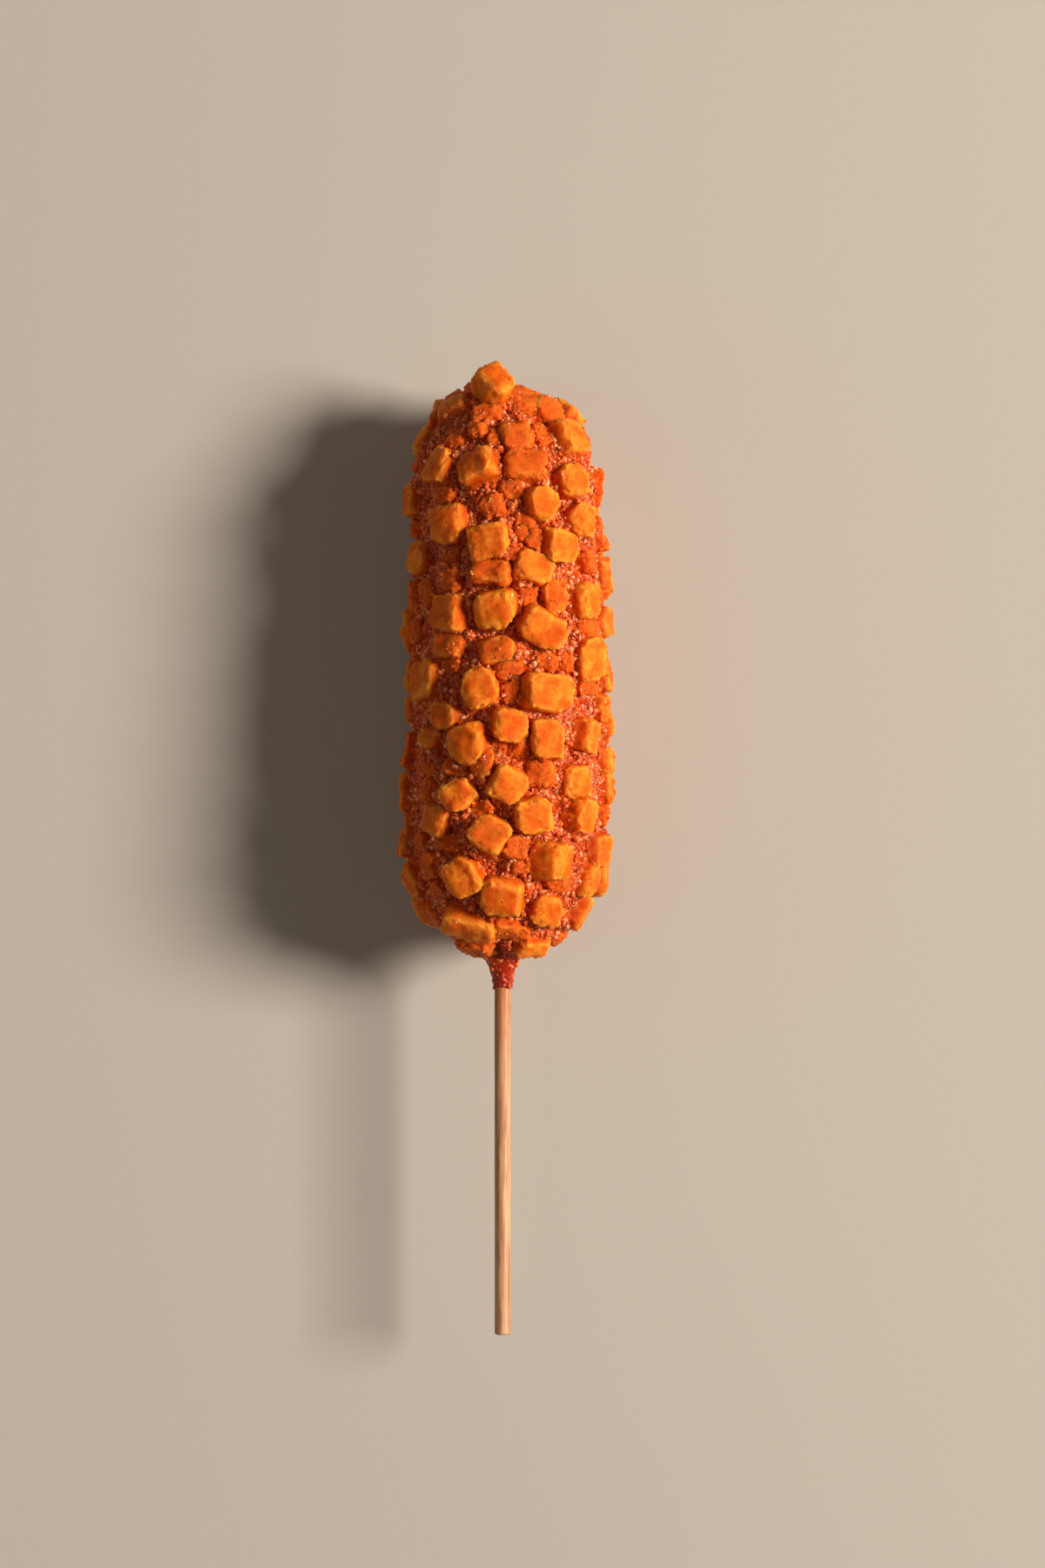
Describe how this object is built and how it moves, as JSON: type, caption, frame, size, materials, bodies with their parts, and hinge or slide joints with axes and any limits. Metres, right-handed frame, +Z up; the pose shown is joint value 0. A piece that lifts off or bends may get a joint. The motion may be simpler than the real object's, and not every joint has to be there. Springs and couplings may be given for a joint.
{
  "type": "corn dog",
  "caption": "Corn dog rolled in cubes of fried potato, with a lumpy seasoned crust drawn down to a thin collar round a plain wooden stick.",
  "frame": {"origin": "middle of the underside of the bounding box", "axes": "+Y along the stick from its handle end to the food's tip, +Z up out of the side that shows, +X to the right with the tip pointing away"},
  "size_m": [0.0578, 0.2536, 0.056],
  "materials": {
    "fried_coating": "fried potato cubes and seasoned crumb crust, orange, slightly oily",
    "stick_wood": "plain pale wood, unvarnished"
  },
  "bodies": {
    "root": {"coated_food": "fried_coating", "stick": "stick_wood"}
  },
  "joints": []
}
